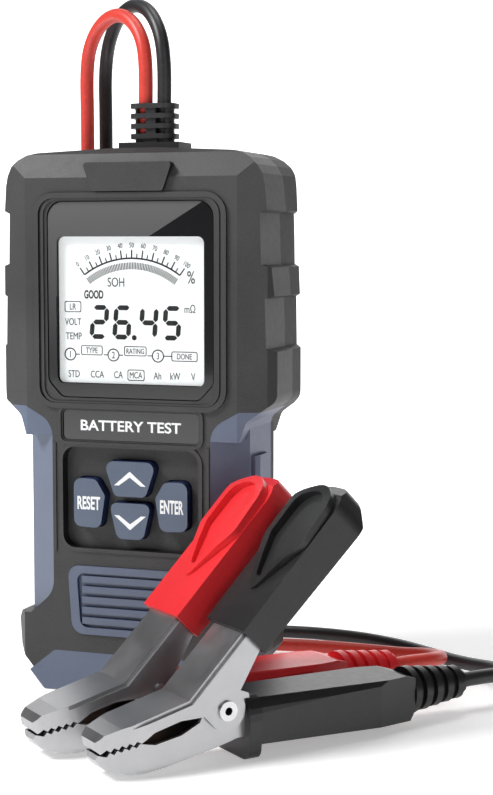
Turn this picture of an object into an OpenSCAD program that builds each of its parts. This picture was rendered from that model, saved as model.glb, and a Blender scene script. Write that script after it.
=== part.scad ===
// Hand-held battery tester on its rubber foot, with two test leads and two spring clamps.
// The tester's base centre is the origin, its front faces -Y and it stands along +Z.

/* [Case] */
// Width of the head at its widest, mm
case_w = 90; // [84:0.5:90]
// Depth of the case from front face to back face, mm
case_d = 36; // [34:0.5:40]
// Height of the case, mm
case_h = 168; // [166:0.5:172]
// Half width of the waist over the side grips, mm
waist_hw = 36.2; // [35.5:0.1:37]
// Wall thickness of the case, mm
wall = 2.2; // [1.8:0.1:2.6]

/* [Keys] */
// Travel of each key, mm
key_travel = 0.8; // [0.5:0.1:1]
// Gap between a key and its hole, mm
key_gap = 0.3; // [0.2:0.05:0.4]

/* [Clamps] */
// Sheet thickness of the jaws, mm
sheet = 1; // [0.8:0.1:1.2]
// Outer width of the upper jaw, mm
jaw_w = 17; // [16:0.5:18]
// Direction of the clamps on the table, degrees from +X
clamp_yaw = 50; // [46:1:54]
// Tilt of the jaw line, degrees
jaw_tilt = 12; // [11:0.5:13]

/* [Leads] */
// Diameter of each test lead, mm
lead_d = 4.4; // [4:0.1:5]

/* [Hidden] */
$fn = 64;

charcoal = [0.25, 0.25, 0.26];
black_abs = [0.07, 0.07, 0.08];
blue_rubber = [0.42, 0.48, 0.60];
slate = [0.35, 0.41, 0.50];
chrome = [0.8, 0.8, 0.82];
red = [0.85, 0.12, 0.12];

// Front and back faces, and the plane where the two case halves meet
front_y = -case_d / 2;
back_y = case_d / 2;
split_y = front_y + 21.5;
head_hw = case_w / 2;
foot_hw = 40.2;
// Bottom of the shell above the rubber foot
shell_z = 2.5;

// ---- rounded outlines ----

function unit(v) = v / norm(v);
// Points of one corner at b between a and c, rounded to radius r
function corner(a, b, c, r, n) =
  let (u = unit(a - b), v = unit(c - b), h = acos(u * v) / 2)
  let (k = b + unit(u + v) * r / sin(h))
  let (s = b + u * r / tan(h) - k, e = b + v * r / tan(h) - k)
  let (a0 = atan2(s[1], s[0]), d = atan2(e[1], e[0]) - a0)
  let (w = d > 180 ? d - 360 : (d < -180 ? d + 360 : d))
  [for (i = [0 : n]) k + r * [cos(a0 + w * i / n), sin(a0 + w * i / n)]];
// Corner list of [x, y, r]; r of 0 keeps the corner sharp
function rounded(p, n = 5) =
  let (m = len(p))
  [for (i = [0 : m - 1])
    let (a = p[(i + m - 1) % m], b = p[i], c = p[(i + 1) % m])
    let (q = b[2] == 0 ? [[b[0], b[1]]]
      : corner([a[0], a[1]], [b[0], b[1]], [c[0], c[1]], b[2], n))
    for (j = q) j];
// Right-hand half of an outline, closed by its own mirror image
function mirrored(p) =
  concat(p, [for (i = [len(p) - 1 : -1 : 0]) [-p[i][0], p[i][1], p[i][2]]]);
// Rounded box as a corner list
function box4(w, h, r) = [[-w/2, -h/2, r], [w/2, -h/2, r], [w/2, h/2, r], [-w/2, h/2, r]];

// Extrude an X-Z outline from depth y0 to depth y1
module slab(y0, y1) {
  translate([0, y1, 0])
    rotate([90, 0, 0])
      linear_extrude(y1 - y0)
        children();
}

// ---- case solids ----

// Head with its notched sides, widening downwards; g moves every face inwards
module head_solid(g = 0) {
  hw = head_hw - g;
  n = 2.2;
  intersection() {
    slab(front_y + g, back_y - g)
      polygon(rounded(mirrored([
        [8, case_h - g, 0], [hw - 14, case_h - 1.2 - g, 0], [hw - 3.6, case_h - 2 - g, 11],
        [hw - 2.2, 149, 0], [hw - 2 - n, 148.2, 0], [hw - 1.6 - n, 132.8, 0], [hw - 1.2, 132, 0],
        [hw - 0.6, 123.5, 0], [hw - 0.6 - n, 122.7, 0], [hw - 0.2 - n, 107.8, 0], [hw, 107, 0],
        [hw, 92 + g, 4], [hw - 8, 86, 3], [hw - 10, 80, 0]])));
    linear_extrude(200)
      polygon(mirrored([[hw - 10.5, front_y + g, 0], [hw - 2, front_y + 3 + g, 0], [hw, front_y + 6.5 + g, 0],
        [hw + 0.01, back_y - 6 - g, 0], [hw - 4, back_y - g, 0]]) * [[1, 0], [0, 1], [0, 0]]);
    rotate([90, 0, 90])
      linear_extrude(120, center = true)
        polygon([[front_y + g, 70], [back_y - g, 70], [back_y - g, case_h - 5 - g],
          [back_y - 4 - g, case_h - g], [front_y + 6.5 + g, case_h - g],
          [front_y + 3 + g, case_h - 1.8 - g], [front_y + g, case_h - 9 - g]]);
  }
}

// Waist between the side grips
module waist_solid(g = 0) {
  hw = waist_hw - g;
  intersection() {
    translate([-50, -50, 20])
      cube([100, 100, 68]);
    linear_extrude(200)
      polygon([[-26 + g / 2, front_y + g], [26 - g / 2, front_y + g], [hw, front_y + 7 + g],
        [hw, back_y - 6 - g], [hw - 5, back_y - g], [5 - hw, back_y - g],
        [-hw, back_y - 6 - g], [-hw, front_y + 7 + g]]);
  }
}

// Flared foot with 45 degree corners
module foot_solid(g = 0, z0 = 0) {
  hw = foot_hw - g;
  intersection() {
    slab(front_y + g, back_y - g)
      polygon(rounded(mirrored([[hw - 10.5 + g, z0, 1], [hw - 1.5, z0 + 10.5, 1],
        [hw, 21, 1], [hw - 5, 28, 0], [hw - 6, 34, 0]])));
    linear_extrude(60)
      polygon([[4 - hw, front_y + g], [hw - 4, front_y + g], [hw, front_y + 5 + g],
        [hw, back_y - 6 - g], [hw - 5, back_y - g], [5 - hw, back_y - g],
        [-hw, back_y - 6 - g], [-hw, front_y + 5 + g]]);
  }
}

module case_solid(g = 0) {
  head_solid(g);
  waist_solid(g);
  foot_solid(g, shell_z + g);
}

// Side region that a grip fills, seen from the front
module grip_region() {
  slab(front_y - 1, back_y - 9)
    polygon(rounded([[26, 84, 7], [26, 31, 8], [34, 24, 0], [44, 24, 0], [44, 89, 0], [35, 89, 0]]));
}

module grip_bumps() {
  for (z = [41, 56, 71])
    translate([waist_hw - 1.6, front_y + 7.6, z - 4.1])
      cube([3.2, 15, 8.2]);
}

// The side grip is a skin over the recessed waist of the case
module side_grip() {
  color(blue_rubber)
    difference() {
      union() {
        intersection() {
          union() {
            waist_solid();
            head_solid();
          }
          grip_region();
        }
        intersection() {
          grip_bumps();
          linear_extrude(200)
            polygon([[30, front_y + 8], [waist_hw + 0.9, front_y + 9.4],
              [waist_hw + 1.6, front_y + 12], [waist_hw + 1.6, front_y + 19],
              [waist_hw - 1, front_y + 22]]);
        }
      }
      case_core();
    }
}

// The case under the grips and the foot cover
module case_core() {
  waist_solid(wall);
  head_solid(wall);
}

module left_grip() {
  mirror([1, 0, 0])
    side_grip();
}

module right_grip() {
  side_grip();
}

// Bottom bumper, a moulded cap over the lower end of the case
module bumper_region() {
  slab(front_y - 1, back_y + 1)
    polygon(rounded([[-foot_hw + 1, 2, 0], [-20, -4, 0], [20, -4, 0], [foot_hw - 1, 2, 0],
      [26, 12.6, 3], [-26, 12.6, 3]]));
}

module bottom_bumper() {
  color(blue_rubber)
    difference() {
      intersection() {
        foot_solid(0, 0);
        bumper_region();
      }
      difference() {
        foot_solid(wall, shell_z);
        translate([-60, -60, -10])
          cube([120, 120, 10 + shell_z]);
      }
    }
}

// ---- openings in the front face ----

lens_out = [[-27.2, 97, 4], [-22.5, 92, 3], [22.5, 92, 3], [27.2, 97, 4], [27.2, 152, 5], [-27.2, 152, 5]];
window_w = 49.6;
window_h = 46;
window_z = 119;
strip_w = 44.7;
strip_h = 9.2;
strip_z = 83.6;
well_w = 44.7;
well_h = 31.4;
well_z = 61.2;
well_floor = front_y + 3.2;
inner_y = front_y + 5.2;
panel_out = [[-19.6, 18.4, 4], [19.6, 18.4, 4], [21, 39.9, 3.5], [-21, 39.9, 3.5]];

key_up = [[-5.4, 61.8, 2], [5.4, 61.8, 2], [9, 73.2, 2.4], [-9, 73.2, 2.4]];
key_down = [[-4.6, 48.7, 2.4], [4.6, 48.7, 2.4], [7.2, 60.4, 2], [-7.2, 60.4, 2]];
key_left = [[-19, 52, 2.4], [-9.6, 51.6, 2.4], [-8, 62.4, 2], [-11, 67.4, 2.4], [-19, 67.6, 2.6]];
key_right = [for (i = [len(key_left) - 1 : -1 : 0]) [-key_left[i][0], key_left[i][1], key_left[i][2]]];

// Ring standing round an outline
module frame_ring(w, h, z, r, t, y0, y1) {
  slab(y0, y1)
    translate([0, z])
      difference() {
        polygon(rounded(box4(w + 2 * t, h + 2 * t, r + t)));
        polygon(rounded(box4(w, h, r)));
      }
}

module key_holes() {
  slab(front_y - 1, inner_y + 1) {
    polygon(rounded(key_up));
    polygon(rounded(key_down));
    polygon(rounded(key_left));
    polygon(rounded(key_right));
  }
}

module front_shell() {
  color(charcoal)
    difference() {
      union() {
        intersection() {
          difference() {
            case_solid();
            grip_side_pockets();
            bumper_pocket();
          }
          translate([-60, front_y, -1])
            cube([120, split_y - front_y, 200]);
        }
        frame_ring(59.5, 62.5, 121.6, 5, 1.6, front_y - 0.9, front_y + 1);
        frame_ring(56.4, 61.2, 121.6, 4.4, 0.9, front_y - 0.5, front_y + 1);
        frame_ring(strip_w + 1, strip_h + 1, strip_z, 1.8, 1, front_y - 0.6, front_y + 1);
        frame_ring(well_w, well_h, well_z, 4, 1.2, front_y - 0.5, front_y + 1);
        for (s = [-1, 1])
          translate([s * 25.2 - 0.5, front_y - 0.4, 44])
            cube([1, 1, 34]);
      }
      slab(front_y - 2, front_y + 2.4)
        polygon(rounded(brow_out));
      slab(front_y - 2, front_y + 1.9)
        polygon(rounded(lens_out));
      translate([-window_w / 2, front_y - 2, window_z - window_h / 2])
        cube([window_w, 12, window_h]);
      slab(front_y - 2, front_y + 1.4)
        translate([0, strip_z])
          polygon(rounded(box4(strip_w, strip_h, 1.5)));
      slab(front_y - 2, well_floor)
        translate([0, well_z])
          polygon(rounded(box4(well_w, well_h, 4)));
      key_holes();
      slab(front_y - 2, front_y + 1.6)
        polygon(rounded(panel_out));
      front_cavity();
      for (p = post_at)
        translate([p[0], split_y - 6, p[1]])
          rotate([-90, 0, 0])
            cylinder(r = 1.35, h = 8);
      sleeve_hole();
    }
  color(charcoal)
    board_posts();
}

// Side pockets the grips sit in
module grip_side_pockets() {
  for (s = [0, 1])
    mirror([s, 0, 0])
      difference() {
        grip_region();
        case_core();
      }
}

module bumper_pocket() {
  difference() {
    bumper_region();
    foot_solid(wall, shell_z);
  }
}

// Screw posts: [x, z]
post_at = [[-29, 150], [29, 150], [-24, 30], [24, 30]];
board_at = [[-28.8, 104], [28.8, 104], [-20, 42], [20, 42]];

module front_cavity() {
  difference() {
    intersection() {
      cavity_solid();
      translate([-60, inner_y, 0])
        cube([120, 60, 200]);
    }
    for (p = post_at)
      translate([p[0], front_y, p[1]])
        rotate([-90, 0, 0])
          cylinder(r = 3.4, h = split_y - front_y);
  }
}

// Space inside the case
module cavity_solid() {
  slab(front_y + 4, back_y - 2.4)
    polygon([[-22, 8], [22, 8], [28, 20], [28, 84], [34, 92], [34.5, 148], [31, 160],
      [-31, 160], [-34.5, 148], [-34, 92], [-28, 84], [-28, 20]]);
}

// Posts that carry the circuit board, standing on the inside of the front
module board_posts() {
  for (p = board_at)
    translate([p[0], inner_y - 0.5, p[1]])
      rotate([-90, 0, 0])
        difference() {
          cylinder(r = 2.4, h = board_y - inner_y + 0.5);
          translate([0, 0, 1.2])
            cylinder(r = 1.05, h = 20);
        }
}
board_y = front_y + 11.4;
board_t = 1.6;

module rear_shell() {
  color(black_abs)
    difference() {
      union() {
        difference() {
          intersection() {
            difference() {
              case_solid();
              grip_side_pockets();
              bumper_pocket();
            }
            translate([-60, split_y, -1])
              cube([120, 60, 200]);
          }
          cavity_solid();
        }
        for (p = post_at)
          translate([p[0], split_y, p[1]])
            rotate([-90, 0, 0])
              cylinder(r = 3.4, h = back_y - split_y - 1);
      }
      for (p = post_at)
        translate([p[0], split_y - 1, p[1]])
          rotate([-90, 0, 0]) {
            cylinder(r = 1.7, h = 30);
            translate([0, 0, 7])
              cylinder(r = 2.8, h = 30);
          }
      for (z = [60 : 5 : 95])
        translate([-14, back_y - 0.8, z])
          cube([28, 2, 1.8]);
      for (p = pad_at)
        translate([p[0], back_y - 0.8, p[1]])
          rotate([-90, 0, 0])
            cylinder(r = 4, h = 2);
      sleeve_hole();
    }
}

pad_at = [[-27, 138], [27, 138], [-22, 44], [22, 44]];

module foot_pads() {
  color([0.1, 0.1, 0.1])
    for (p = pad_at)
      translate([p[0], back_y - 0.8, p[1]])
        rotate([-90, 0, 0])
          cylinder(r = 3.9, h = 1.3);
}

module rib_panel() {
  color(blue_rubber)
    difference() {
      slab(front_y - 0.5, front_y + 1.6)
        polygon(rounded(panel_out));
      slab(front_y - 2, front_y + 0.7)
        difference() {
          polygon(rounded([[-16.8, 20.6, 2.5], [16.8, 20.6, 2.5], [18, 37.6, 2.5], [-18, 37.6, 2.5]]));
          for (i = [0 : 4])
            translate([-16.2, 21.7 + i * 3.25])
              square([32.4, 2.1]);
        }
    }
}

// Outline of the tab over the window
brow_out = [[-14.5, 163.4, 1], [-11.5, 154.8, 1], [11.5, 154.8, 1], [14.5, 163.4, 1]];

module brow_tab() {
  color([0.3, 0.3, 0.31])
    difference() {
      slab(front_y - 1.5, front_y + 2.4)
        polygon(rounded(brow_out));
      translate([-20, front_y - 2.6, 163.4])
        rotate([35, 0, 0])
          cube([40, 3, 6]);
    }
}

module screen_lens() {
  color([0.03, 0.03, 0.04])
    slab(front_y + 0.3, front_y + 1.7)
      polygon(rounded([for (p = lens_out) [p[0] * 0.99, 122 + (p[1] - 122) * 0.99, p[2]]]));
}

module lens_gasket() {
  color([0.15, 0.15, 0.15])
    slab(front_y + 1.7, front_y + 1.9)
      difference() {
        polygon(rounded([for (p = lens_out) [p[0] * 0.99, 122 + (p[1] - 122) * 0.99, p[2]]]));
        translate([0, window_z])
          square([window_w, window_h], center = true);
      }
}

module lcd_module() {
  color([0.93, 0.95, 0.94])
    slab(front_y + 2.2, inner_y)
      translate([0, window_z])
        polygon(rounded(box4(window_w - 1, window_h - 1, 1.5)));
}

// Backlight tray behind the glass, standing on the board
module lcd_frame() {
  color([0.75, 0.75, 0.76])
    difference() {
      slab(inner_y, board_y)
        translate([0, window_z])
          polygon(rounded(box4(window_w + 2, window_h + 2, 1)));
      slab(front_y + 7, board_y + 1)
        translate([0, window_z])
          square([window_w - 4, window_h - 4], center = true);
    }
}

module name_strip() {
  color([0.05, 0.05, 0.06])
    slab(front_y + 0.4, front_y + 1.4)
      translate([0, strip_z])
        polygon(rounded(box4(strip_w - 0.2, strip_h - 0.2, 1.4)));
}

// ---- keys ----

// Corner list drawn in by g towards its own middle
function middle(p) = [for (k = [0, 1]) let (s = [for (q = p) q[k]]) (max(s) + min(s)) / 2];
function inset(p, g) =
  let (c = middle(p))
  [for (q = p)
    let (d = [q[0], q[1]] - c)
    [q[0] - sign(d[0]) * g, q[1] - sign(d[1]) * g, q[2]]];

// One moulded key with its retaining flange and the stem over its switch
module key(p) {
  c = middle(p);
  color(slate) {
    slab(front_y - 0.4, inner_y + 0.2)
      polygon(rounded(inset(p, key_gap)));
    slab(inner_y + 0.2, inner_y + 1)
      intersection() {
        polygon(rounded(inset(p, -0.6)));
        translate(c)
          square([30, 12.6], center = true);
      }
    translate([c[0], inner_y + 0.9, c[1]])
      rotate([-90, 0, 0])
        cylinder(r = 2, h = switch_y - plunger_h - inner_y - 0.9);
  }
}

// Front of the switch bodies, and the plunger height above them
switch_y = board_y - 3.2;
plunger_h = 1.2;

module up_key() {
  key(key_up);
}

module down_key() {
  key(key_down);
}

module reset_key() {
  key(key_left);
}

module enter_key() {
  key(key_right);
}

module plunger(p) {
  c = middle(p);
  color([0.85, 0.8, 0.3])
    translate([c[0], switch_y - plunger_h, c[1]])
      rotate([-90, 0, 0])
        cylinder(r = 1.5, h = plunger_h + 1);
}

module up_plunger() {
  plunger(key_up);
}

module down_plunger() {
  plunger(key_down);
}

module reset_plunger() {
  plunger(key_left);
}

module enter_plunger() {
  plunger(key_right);
}

module switch_bodies() {
  color([0.15, 0.15, 0.16])
    for (p = [key_up, key_down, key_left, key_right]) {
      c = middle(p);
      difference() {
        translate([c[0] - 3, switch_y, c[1] - 3])
          cube([6, board_y - switch_y, 6]);
        translate([c[0], switch_y - 1, c[1]])
          rotate([-90, 0, 0])
            cylinder(r = 1.6, h = 3.2);
      }
    }
}

// ---- circuit board and what it carries ----

module main_board() {
  color([0.05, 0.3, 0.15])
    difference() {
      slab(board_y, board_y + board_t)
        polygon([[-25, 36], [25, 36], [25, 84], [31, 92], [31, 143], [-31, 143], [-31, 92], [-25, 84]]);
      for (p = board_at)
        translate([p[0], board_y - 1, p[1]])
          rotate([-90, 0, 0])
            cylinder(r = 1.2, h = 4);
    }
}
rear_face = board_y + board_t;

module board_chips() {
  color([0.08, 0.08, 0.08]) {
    translate([-6, rear_face, 108])
      cube([12, 1.6, 12]);
    translate([8, rear_face, 88])
      cube([6, 1.4, 5]);
    translate([-15, rear_face, 84])
      cube([5, 1.4, 6]);
    translate([-3, rear_face, 64])
      cube([7, 1.4, 5]);
  }
}

module load_resistor() {
  color([0.85, 0.83, 0.78])
    translate([-18, rear_face, 95])
      cube([36, 8, 8]);
}

module capacitors() {
  color([0.1, 0.12, 0.2])
    for (x = [-16, 16])
      translate([x, rear_face, 75])
        rotate([-90, 0, 0])
          cylinder(r = 4, h = 11);
}

module buzzer() {
  color([0.06, 0.06, 0.06])
    translate([0, rear_face, 50])
      rotate([-90, 0, 0])
        difference() {
          cylinder(r = 6, h = 7);
          translate([0, 0, 5])
            cylinder(r = 1.2, h = 3);
        }
}

module fuse_block() {
  color([0.6, 0.15, 0.1])
    translate([-9, rear_face, 127])
      cube([18, 5, 6]);
}

module board_screws() {
  color(chrome)
    for (p = board_at)
      translate([p[0], rear_face, p[1]])
        rotate([-90, 0, 0]) {
          cylinder(r = 2.2, h = 1.4);
          translate([0, 0, -7])
            cylinder(r = 1, h = 7.01);
        }
}

module case_screws() {
  color([0.35, 0.35, 0.36])
    for (p = post_at)
      translate([p[0], split_y, p[1]])
        rotate([-90, 0, 0])
          difference() {
            union() {
              translate([0, 0, 6])
                cylinder(r = 2.6, h = 1.8);
              translate([0, 0, -5])
                cylinder(r = 1.3, h = 11.01);
            }
            translate([-0.4, -1.8, 7])
              cube([0.8, 3.6, 1]);
            translate([-1.8, -0.4, 7])
              cube([3.6, 0.8, 1]);
          }
}

// ---- lead exit on top of the case ----

lead_x = 3.1;
bore_r = lead_d / 2 + 0.06;
sleeve_top = case_h + 14.2;

module lead_bores(z0, z1, r = bore_r) {
  for (s = [-1, 1])
    translate([s * lead_x, split_y, z0])
      cylinder(r = r, h = z1 - z0);
}

module sleeve_hole() {
  translate([-6.7, split_y - 3.9, 150])
    cube([13.4, 7.8, 30]);
}

// Twin ribbed strain relief with its foot clamped between the case halves
module cable_sleeve() {
  color([0.12, 0.12, 0.13])
    difference() {
      union() {
        translate([-6.5, split_y - 3.7, 160])
          cube([13, 7.4, case_h - 160]);
        translate([-7.6, split_y - 4.6, 158])
          cube([15.2, 9.2, 2]);
        translate([-10, split_y - 5.4, case_h])
          cube([20, 10.8, 2.2]);
        translate([0, 0, case_h])
          for (s = [-1, 1])
            translate([s * lead_x, split_y, 0])
              cylinder(r = 3.2, h = 14.2);
        for (z = [case_h + 3.4, case_h + 6.5, case_h + 9.6, case_h + 12.7])
          translate([0, split_y, z])
            linear_extrude(1.5)
              polygon(rounded(box4(14.7, 8.6, 3)));
        translate([-2.2, split_y - 3.6, case_h])
          cube([4.4, 7.2, 14.2]);
      }
      lead_bores(150, 200);
      for (s = [-1, 1])
        for (z = [case_h + 4.9, case_h + 8, case_h + 11.1])
          translate([s * lead_x - 1.5, split_y - 5, z])
            cube([3, 4, 1.6]);
    }
}

// Bar inside the case that grips both leads
module cable_clamp() {
  color([0.2, 0.2, 0.2])
    difference() {
      translate([-8, inner_y, 149])
        cube([16, split_y + 4.5 - inner_y, 4]);
      lead_bores(140, 160);
    }
}

// Brass lugs that join the lead ends to the board
module solder_lugs() {
  color([0.75, 0.6, 0.3])
    for (s = [-1, 1]) {
      translate([s * lead_x - 2.2, rear_face, 137])
        cube([4.4, split_y + 2.4 - rear_face, 3]);
      translate([s * lead_x - 2.2, rear_face, 133])
        cube([4.4, 1, 5]);
    }
}

// ---- clamps ----

// Each clamp is drawn with its rivet on the Z line over the origin, handles along +X
pivot_z = 14.8;
black_at = [44.5, -67.5];
red_at = [21, -56];
lower_w = jaw_w - 2 * sheet - 0.6;
rivet_r = 2;
bend = [-10, 6.2];
rise = 33;
// A point of the upper handle in the jaw frame: a along it from the bend, w square to it
function on_handle(a, w) =
  [bend[0] + a * cos(rise) - w * sin(rise), bend[1] + a * sin(rise) + w * cos(rise)];

module on_table(p) {
  translate([p[0], p[1], 0])
    rotate([0, 0, clamp_yaw])
      children();
}

// Jaw frame: X along the jaw line, Y of the outline upwards, rivet at its origin
module jaw_frame() {
  translate([0, 0, pivot_z])
    rotate([0, -jaw_tilt, 0])
      children();
}

module plate(w) {
  rotate([90, 0, 0])
    linear_extrude(w, center = true)
      children();
}

upper_side = concat([[-36.6, 0.2], [-37.8, 1.8], [-37.2, 3.6], [-34.8, 5], [-30, 5.5], bend],
  [on_handle(64, 0), on_handle(64, -6), on_handle(27, -6), [5, 4], [5, -2.5], [-5, -2.5], [-7, 0.8],
  [-14, 2.2], [-22, 1.9]],
  [for (s = [-26 : -2 : -35]) each [[s, 0.2], [s - 1, 1.1]]]);

lower_side = concat([[-36.9, -0.3], [-37.6, -1.6], [-36, -4.6], [-31, -7.4], [-26, -8.7],
  [-20, -9.3], [-6, -9.7], [4, -9.4], [8, -6], [8, 2], [3, 5.2], [-3, 5.2], [-6, 2], [-8, -0.8],
  [-14, -2.2], [-22, -1.9]],
  [for (s = [-26 : -2 : -35]) each [[s, -0.2], [s - 1, -1.1]]]);

// Plan of the rounded nose, half width hw
module nose_plan(hw, tip) {
  translate([0, 0, -40])
    linear_extrude(90)
      polygon(rounded([[60, -hw, 0], [60, hw, 0], [-24, hw, 20], [-37.8, tip, 3.5],
        [-37.8, -tip, 3.5], [-24, -hw, 20]], 6));
}

// Rounded edges along the bent sheet of a channel
module soft_plate(w, r) {
  intersection() {
    plate(w)
      children(0);
    union() {
      plate(w)
        children(1);
      plate(w - 2 * r)
        children(0);
    }
  }
}

module upper_jaw() {
  color(chrome)
    jaw_frame()
      difference() {
        intersection() {
          union() {
            soft_plate(jaw_w, 1) {
              polygon(upper_side);
              translate([0.4, -1])
                polygon(upper_side);
            }
            plate(jaw_w)
              circle(r = 5.6);
          }
          nose_plan(jaw_w / 2, 4.6);
        }
        intersection() {
          plate(jaw_w - 2 * sheet)
            union() {
              translate([0.7, -1.15])
                polygon(upper_side);
              translate([-6, -8])
                square([22, 14]);
              polygon([[-35, 0], [-33, 2.8], [-8, 4], on_handle(70, -1.2), on_handle(70, -14),
                [10, -4]]);
            }
          nose_plan(jaw_w / 2 - sheet, 3.6);
        }
        plate(40)
          circle(r = rivet_r + 0.05);
      }
}

handle_lo = [[3, -8.3], [56, -8.3], [56, -2.6], [3, -0.8]];

module lower_jaw() {
  color(chrome)
    difference() {
      union() {
        jaw_frame()
          intersection() {
            union() {
              soft_plate(lower_w, 1) {
                polygon(lower_side);
                translate([0.4, 1])
                  polygon(lower_side);
              }
              plate(lower_w)
                circle(r = 5.4);
            }
            nose_plan(lower_w / 2, 4);
          }
        translate([0, 0, pivot_z])
          plate(lower_w)
            polygon(handle_lo);
      }
      jaw_frame()
        intersection() {
          plate(lower_w - 2 * sheet)
            union() {
              translate([0.9, 1.15])
                polygon(lower_side);
              polygon([[-34, 0], [-31, -5], [-20, -7.6], [-8, -8], [6, -8], [12, 10], [-8, 10]]);
            }
          nose_plan(lower_w / 2 - sheet, 3);
        }
      translate([0, 0, pivot_z])
        plate(lower_w - 2 * sheet)
          polygon([[-4, -7.3], [60, -7.3], [60, 4], [-4, 4]]);
      jaw_frame()
        plate(40)
          circle(r = rivet_r);
    }
}

// Hollow rivet through both jaws, its rims rolled over on the outside
module rivet() {
  color([0.7, 0.7, 0.72])
    translate([0, 0, pivot_z])
      rotate([90, 0, 0])
        difference() {
          union() {
            cylinder(r = rivet_r, h = jaw_w + 0.6, center = true);
            for (s = [-1, 1])
              translate([0, 0, s * (jaw_w / 2 + 0.45)])
                cylinder(r = 2.7, h = 0.7, center = true);
          }
          cylinder(r = 1.1, h = 40, center = true);
        }
}

// Close-wound torsion spring with its lower leg along the fixed handle
module spring_coil() {
  color([0.45, 0.45, 0.47])
    translate([0, 0, pivot_z]) {
      rotate([90, 0, 0])
        rotate_extrude()
          for (i = [-3 : 3])
            translate([3.1, i * 1.25])
              circle(r = 0.75);
      translate([0, 3.75, -3.1])
        rotate([0, 100, 0])
          cylinder(r = 0.7, h = 17);
    }
}

module spring_leg() {
  color([0.45, 0.45, 0.47])
    jaw_frame()
      translate([1.5, -3.75, 4.6])
        rotate([0, 46, 0])
          cylinder(r = 0.7, h = 17);
}

module lower_contact() {
  color([0.72, 0.5, 0.32])
    jaw_frame()
      translate([-24, -4, -7.55])
        rotate([0, 2, 0])
          cube([15, 8, 1]);
}

module upper_contact() {
  color([0.72, 0.5, 0.32])
    jaw_frame()
      translate([-29, -4.6, 3.5])
        rotate([0, -1.5, 0])
          cube([18, 9.2, 0.8]);
}

module contact_screw() {
  color([0.25, 0.25, 0.25])
    jaw_frame()
      translate([-20, 0, -6.67])
        rotate([0, 2, 0])
          difference() {
            cylinder(r = 2.3, h = 1.7);
            translate([-3, -0.4, 1])
              cube([6, 0.8, 1]);
          }
}

// Box of the fixed handle that the lower sleeve is pushed over
module lower_sleeve(c) {
  color(c)
    difference() {
      union() {
        intersection() {
          plate(24)
            polygon([[6.2, 4.5], [62, 2.4], [64, 5], [64, 14.6], [60, 15.8], [6.2, 17]]);
          translate([0, 0, -1])
            linear_extrude(30)
              polygon([[6.2, -9.6], [50, -9.2], [64, -6.4], [64, 6.4], [50, 9.2], [6.2, 9.6]]);
          rotate([90, 0, 90])
            linear_extrude(80)
              polygon(rounded([[-9.6, 1.4, 2.5], [9.6, 1.4, 2.5], [9.6, 18.2, 5.5],
                [-9.6, 18.2, 5.5]]));
        }
        rotate([90, 0, 90])
          translate([0, 0, 6.2])
            linear_extrude(4)
              polygon(rounded([[-9, 0, 3], [9, 0, 3], [10.2, 11, 3], [9.6, 17.6, 5], [-9.6, 17.6, 5],
                [-10.2, 11, 3]]));
        for (i = [0 : 4])
          translate([20 + i * 8, -3.5, 2.2 - i * 0.28])
            cube([3, 7, 3.2]);
        translate([62, 0, 9.6])
          rotate([0, 90, 0]) {
            cylinder(r1 = 5.2, r2 = 3.6, h = 23);
            for (i = [0 : 4])
              translate([0, 0, 2.2 + i * 4.2])
                cylinder(r = 6.9 - i * 0.5, h = 2.2);
            translate([-3.8, -1.3, 0])
              cube([7.6, 2.6, 20]);
          }
      }
      translate([0, 0, pivot_z])
        plate(lower_w)
          polygon([[-10, -8.3], [56.4, -8.3], [56.4, -2.6], [8, -0.95], [8, 10], [-10, 10]]);
      translate([58, 0, 9.6])
        rotate([0, 90, 0])
          cylinder(r = bore_r, h = 40);
    }
}

// Outline of the thumb pad, seen square on
pad_out = [[33, 0, 2], [52, -9.6, 4], [67, -9, 7], [72.5, 0, 7], [67, 9, 7], [52, 9.6, 4]];
pad_in = [[37, 0, 1.5], [53, -7.2, 4], [65.5, -6.8, 6], [69.6, 0, 6], [65.5, 6.8, 6], [53, 7.2, 4]];

module upper_sleeve(c) {
  color(c)
    jaw_frame()
      translate([bend[0], 0, bend[1]])
        rotate([0, -rise, 0])
          difference() {
            union() {
              intersection() {
                plate(24)
                  polygon([[23, -7.8], [68, -9], [74, -5.5], [74, -0.5], [70, 2.2], [23, 1.5]]);
                translate([0, 0, -20])
                  linear_extrude(40)
                    polygon(rounded([[23, -10, 0], [67, -10, 8], [74, -5, 6], [74, 5, 6],
                      [67, 10, 8], [23, 10, 0]]));
              }
              intersection() {
                linear_extrude(6)
                  polygon(rounded(pad_out));
                plate(24)
                  polygon([[30, 0], [76, 0], [76, 3], [66, 4.8], [46, 3.8], [32, 1.9]]);
              }
            }
            intersection() {
              translate([0, 0, 1.7])
                linear_extrude(8)
                  polygon(rounded(pad_in));
              plate(24)
                polygon([[34, 2.2], [40, 1.7], [66, 2.6], [74, 3.6], [74, 12], [34, 12]]);
            }
            plate(jaw_w)
              polygon([[10, -9.8], [27.2, -6], [64.2, -6], [64.2, 0], [10, 0]]);
          }
}

module red_lower_jaw() {
  on_table(red_at)
    lower_jaw();
}

module red_upper_jaw() {
  on_table(red_at)
    upper_jaw();
}

module red_rivet() {
  on_table(red_at)
    rivet();
}

module red_spring_coil() {
  on_table(red_at)
    spring_coil();
}

module red_spring_leg() {
  on_table(red_at)
    spring_leg();
}

module red_lower_contact() {
  on_table(red_at)
    lower_contact();
}

module red_upper_contact() {
  on_table(red_at)
    upper_contact();
}

module red_contact_screw() {
  on_table(red_at)
    contact_screw();
}

module red_lower_sleeve() {
  on_table(red_at)
    lower_sleeve(red);
}

module red_upper_sleeve() {
  on_table(red_at)
    upper_sleeve(red);
}

module black_lower_jaw() {
  on_table(black_at)
    lower_jaw();
}

module black_upper_jaw() {
  on_table(black_at)
    upper_jaw();
}

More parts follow.
